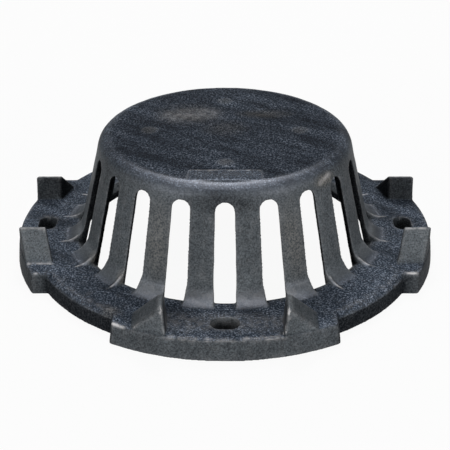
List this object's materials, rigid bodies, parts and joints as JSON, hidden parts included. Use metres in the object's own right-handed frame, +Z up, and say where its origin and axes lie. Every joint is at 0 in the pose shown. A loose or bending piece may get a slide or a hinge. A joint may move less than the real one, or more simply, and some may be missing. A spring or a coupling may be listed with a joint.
{
  "type": "floor drain",
  "caption": "Cast-iron dome strainer for a floor or roof drain: a flat-topped slotted cone on a lobed flange with bolt slots and wedge gravel stops.",
  "frame": {"origin": "centre of the flange's underside, on the drain's axis", "axes": "+Z up along the drain's axis, out of the dome's top; -Y towards the lobe below the oblong pad"},
  "size_m": [0.305, 0.305, 0.091],
  "materials": {
    "cast_iron": "dark slate coating over a rough sand-cast surface, worn at the edges"
  },
  "bodies": {
    "root": {"dome_strainer": "cast_iron"}
  },
  "joints": []
}
